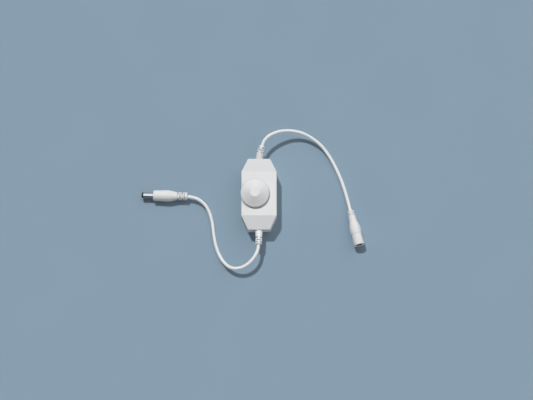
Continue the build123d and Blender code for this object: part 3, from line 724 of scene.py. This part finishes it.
plug_line = straight_line(plug_rear, plug_aim)
grip_outline = rounded([
    (0, pole_radius, 0), (0, 3.9, 0.5), (11.0, 4.0, 2.0), (14.6, 4.9, 3.0), (18.2, 5.65, 3.0),
    (22.5, 5.65, 3.0), (26.4, 5.35, 2.0), (plug_length, 5.15, 0.8),
    (plug_length, plug_socket, 0.1), (socket_floor, plug_socket, 0),
    (socket_floor, pole_radius, 0)], steps=6)
grip_slots = staggered((2.8, 4.9, 7.1, 9.4), face_slots, side_slots, roll=-25, floor=2.0)
gate_mark = (28.4, 13, 0.9, 0.14)
plug_grip = sleeve("plug_grip", plug_line, grip_outline, grip_slots, dent=gate_mark)
smooth(plug_grip, grip_break)
moulded_vinyl = finish_of("moulded_vinyl", linear(230, 230, 229), linear(223, 223, 222),
                          (0.45, 0.6), grain=0.25, relief=0.012, blotch=4.0)
milky(moulded_vinyl, weight=0.2, reach=0.5)
plug_grip.data.materials.append(moulded_vinyl)
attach(plug_grip, "case")
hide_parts("plug_body")


def tube_skin(name, line, outline):
    """A turned tube from a closed outline of (station, radius) points."""
    turns = [2 * math.pi * k / tube_sides for k in range(tube_sides)]
    rings = []
    for at, out in outline:
        centre, aside, up = line(at)
        rings.append([centre + (aside * math.sin(a) + up * math.cos(a)) * out * mm
                      for a in turns])
    return skin(name, rings, joined=True)


plating = finish_of("nickel_plate", linear(178, 178, 180), linear(170, 171, 174), (0.05, 0.1),
                    grain=0.4, relief=0.002, blotch=1.5, metal=1.0, stretch=(1, 8, 8))
barrel_outline = rounded([
    (30.0, barrel_bore, 0), (30.0, plug_socket, 0.1), (plug_length, plug_socket, 0.1),
    (plug_length, barrel_radius, 0.05), (barrel_end, barrel_radius, 0.15),
    (barrel_end, barrel_bore, 0.1), (36.0, barrel_bore, 0)])
barrel = tube_skin("barrel", plug_line, barrel_outline)
smooth(barrel, metal_break)
barrel.data.materials.append(plating)
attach(barrel, "case")
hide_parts("plug_sleeve")

black_tip = finish_of("black_insulator", linear(18, 18, 19), linear(12, 12, 13), (0.2, 0.35),
                      grain=0.2, relief=0.006, blotch=1.5)
tip_outline = rounded([
    (30.5, contact_radius, 0), (30.5, 2.34, 0), (barrel_end, 2.34, 0),
    (barrel_end, tip_radius, 0.1), (tip_end, tip_radius, 0.35), (tip_end, tip_bore, 0.25),
    (barrel_end, tip_bore, 0), (barrel_end, contact_radius, 0)])
tip = tube_skin("plug_tip", plug_line, tip_outline)
smooth(tip, metal_break)
tip.data.materials.append(black_tip)
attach(tip, "case")
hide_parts("plug_insulator")
contact_plate = finish_of("contact_plate", linear(226, 206, 160), linear(206, 184, 136),
                          (0.15, 0.3), grain=0.2, relief=0.003, blotch=1.0, metal=1.0)
dress(["plug_contact", "jack_centre_pin"], contact_plate)

# The jack is moulded round its own lead: an end ring and two grooves, a neck, a
# shoulder with a small step, and a nose whose mouth has a thin black lining. It
# lies on its belly and its ring, so its face looks up a little.
jack_rear = (91.1, -15.06, 3.58)
jack_aim = (-76.8, 6.5)
jack_length = 36.0
jack_lip = 34.8
jack_floor = 24.0
socket_radius = 3.0
liner_radius = 4.1
groove_radius = 2.9
lining_start = -0.1
lining_end = jack_length - jack_lip - 0.5
lining_reach = socket_radius + 0.1
jack_line = straight_line(Vector(jack_rear) * mm, jack_aim)
jack_outline = rounded([
    (0, pole_radius, 0), (0, 3.55, 0.35), (1.75, 3.55, 0.2), (1.85, groove_radius, 0.1),
    (2.45, groove_radius, 0.1), (2.55, 3.62, 0.3), (4.0, 3.62, 0.3), (4.1, groove_radius, 0.1),
    (4.7, groove_radius, 0.1), (4.8, 3.66, 0.2), (10.9, 3.9, 2.5), (14.3, 4.9, 2.5),
    (18.0, 5.65, 2.5), (23.5, 5.68, 0.5), (24.5, 5.25, 0.5), (jack_length, 5.3, 0.6),
    (jack_length, socket_radius, 0.6), (jack_lip, socket_radius, 0), (jack_lip, liner_radius, 0),
    (jack_floor, liner_radius, 0), (jack_floor, pole_radius, 0)], steps=6)
jack_grip = sleeve("jack_grip", jack_line, jack_outline)
smooth(jack_grip, grip_break)
jack_grip.data.materials.append(moulded_vinyl)
jack_grip.data.materials.append(black_tip)
lip_centre = jack_line(jack_lip)[0]
jack_along = (jack_line(jack_length)[0] - lip_centre).normalized()
for face in jack_grip.data.polygons:
    off = face.center - lip_centre
    depth = off.dot(jack_along)
    out = (off - jack_along * depth).length
    lining = lining_start < depth / mm < lining_end and out < lining_reach * mm
    face.material_index = int(lining)
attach(jack_grip, "case")
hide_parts("jack_body")
dress(["jack_liner"], black_tip)

# Both leads are 3.4 mm cords of soft white vinyl, held only at their ends.
# Each keeps the loose curve that it was packed in and comes down to the floor.
cord_diameter = 3.4
sheath = finish_of("vinyl_sheath", linear(238, 238, 237), linear(232, 232, 232), (0.32, 0.45),
                   grain=0.5, relief=0.006, blotch=7.0)
milky(sheath, weight=0.7, reach=1.0)
input_points = [
    input_exit, (4.07, 51.99, 16.61), (5.95, 55.2, 16.9), (9.4, 58.7, 16.9),
    (14.1, 61.5, 16.2), (19.8, 63.7, 15.0), (26.7, 65.1, 13.1), (34.8, 65.2, 11.1),
    (44.3, 63.3, 9.1), (54.0, 58.3, 7.0), (62.9, 51.3, 5.0), (70.2, 41.7, 3.2),
    (76.3, 30.6, 1.9), (81.6, 18.7, 1.7), (85.9, 6.0, 1.75), (89.4, -7.81, 2.73),
    jack_rear]
output_points = [
    output_exit, (-0.57, -53.23, 13.29), (-1.8, -57.7, 14.0), (-4.2, -62.3, 14.2),
    (-7.8, -67.0, 13.8), (-12.7, -71.0, 12.5), (-18.6, -73.4, 10.9), (-24.7, -73.6, 8.7),
    (-30.0, -71.5, 6.6), (-34.5, -67.3, 4.7), (-38.2, -61.7, 3.0), (-41.5, -54.4, 1.8),
    (-44.0, -45.3, 1.7), (-45.4, -35.2, 1.7), (-46.6, -25.4, 1.8), (-49.2, -16.4, 2.4),
    (-53.0, -9.4, 3.7), (-57.3, -5.5, 4.8), (-61.9, -2.6, 5.5), (-67.2, -1.2, 5.7),
    (-71.6, -0.7, 5.7)]


def lead(name, points):
    """A cord along a smooth spline through the given points, in place of the imported cord."""
    curve = bpy.data.curves.new(name, "CURVE")
    curve.dimensions = "3D"
    curve.resolution_u = 16
    curve.bevel_depth = cord_diameter / 2 * mm
    curve.bevel_resolution = 8
    curve.use_fill_caps = True
    spline = curve.splines.new("NURBS")
    spline.points.add(len(points) - 1)
    for control, point in zip(spline.points, points):
        control.co = (*(Vector(point) * mm), 1)
    spline.order_u = 3
    spline.use_endpoint_u = True
    curve.materials.append(sheath)
    cord = bpy.data.objects.new(name + "_lead", curve)
    bpy.context.scene.collection.objects.link(cord)
    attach(cord, "case")
    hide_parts(name + "_cord")


lead("input", input_points)
lead("output", output_points)

# The table is a smooth pale blue-grey sheet, far wider than the view. The case
# stands on it, and the leads, plug and jack lie on it.
table_size = 20.0
table_corners = [(x * table_size / 2, y * table_size / 2, 0)
                 for x, y in ((-1, -1), (1, -1), (1, 1), (-1, 1))]
table_mesh = bpy.data.meshes.new("table")
table_mesh.from_pydata(table_corners, [], [(0, 1, 2, 3)])
table = object_of("table", table_mesh)
table.data.materials.append(
    finish_of("table_sheet", linear(140, 162, 178), linear(137, 159, 175), (0.7, 0.8),
              grain=2.0, relief=0.01, blotch=300.0))

# Light: a lamp high at the upper left gives the shadows of the photograph. Two
# very wide cool ones, on the right and low in front, fill them.
lamps = {
    "key": (Vector((0.28, -0.605, -1.0)), 2.3, 0.07, (1.0, 1.0, 1.0)),
    "side": (Vector((-0.1, -0.085, -0.133)), 0.76, 1.1, (0.97, 0.99, 1.02)),
    "front": (Vector((-0.0475, 0.12, -0.05)), 0.6, 1.1, (0.97, 0.99, 1.02))}
for name, (direction, strength, width, colour) in lamps.items():
    lamp = bpy.data.objects.new(name, bpy.data.lights.new(name, "SUN"))
    lamp.data.energy = strength
    lamp.data.angle = width
    lamp.data.color = colour
    lamp.visible_glossy = False
    lamp.rotation_mode = "QUATERNION"
    lamp.rotation_quaternion = direction.to_track_quat("-Z", "Y")
    bpy.context.scene.collection.objects.link(lamp)

# The surround is dim but looks pale behind the table. Glossy surfaces see a
# studio in it: a long white panel overhead, grey walls beside it and darkness
# on the near side, where the camera stands.
surround_level = 0.075
backdrop_level = 0.72
near_side = (-0.66, -0.54)
near_level = 0.02
panel_side = (0.75, 0.6)
panel_edge = (0.33, 0.43)
panel_level = 1.8
wall_level = 0.5
world = bpy.data.worlds.new("surround")
world.use_nodes = True
bpy.context.scene.world = world


def ramp(value, start_end, low, high):
    """A share of the surround that goes from low to high between two values."""
    made = add_node(world, "ShaderNodeMapRange",
                    {"Value": value, "From Min": start_end[0], "From Max": start_end[1],
                     "To Min": low, "To Max": high})
    return made.outputs["Result"]


where = add_node(world, "ShaderNodeTexCoord")
split = add_node(world, "ShaderNodeSeparateXYZ", {0: where.outputs["Generated"]})
aside = add_node(world, "ShaderNodeMath", {0: split.outputs["X"]}, operation="ABSOLUTE")
shape = add_node(world, "ShaderNodeMath",
                 {0: ramp(aside.outputs[0], panel_side, 0.0, 1.0),
                  1: ramp(split.outputs["Z"], panel_edge, 0.0, 1.0)}, operation="MULTIPLY")
studio = add_node(world, "ShaderNodeMath",
                  {0: ramp(split.outputs["Y"], near_side, near_level, 1.0),
                   1: ramp(shape.outputs[0], (0.0, 1.0), wall_level, panel_level)},
                  operation="MULTIPLY")
light_path = add_node(world, "ShaderNodeLightPath")
level = add_node(world, "ShaderNodeMix",
                 {"Factor": light_path.outputs["Is Glossy Ray"], "A": surround_level,
                  "B": studio.outputs[0]}, data_type="FLOAT")
backdrop = add_node(world, "ShaderNodeMath",
                    {0: light_path.outputs["Is Camera Ray"],
                     1: light_path.outputs["Is Transmission Ray"]},
                    operation="ADD", use_clamp=True)
seen = add_node(world, "ShaderNodeMix",
                {"Factor": backdrop.outputs[0], "A": level.outputs["Result"],
                 "B": backdrop_level}, data_type="FLOAT")
background = world.node_tree.nodes["Background"]
background.inputs["Color"].default_value = (1, 1, 1, 1)
world.node_tree.links.new(seen.outputs["Result"], background.inputs["Strength"])
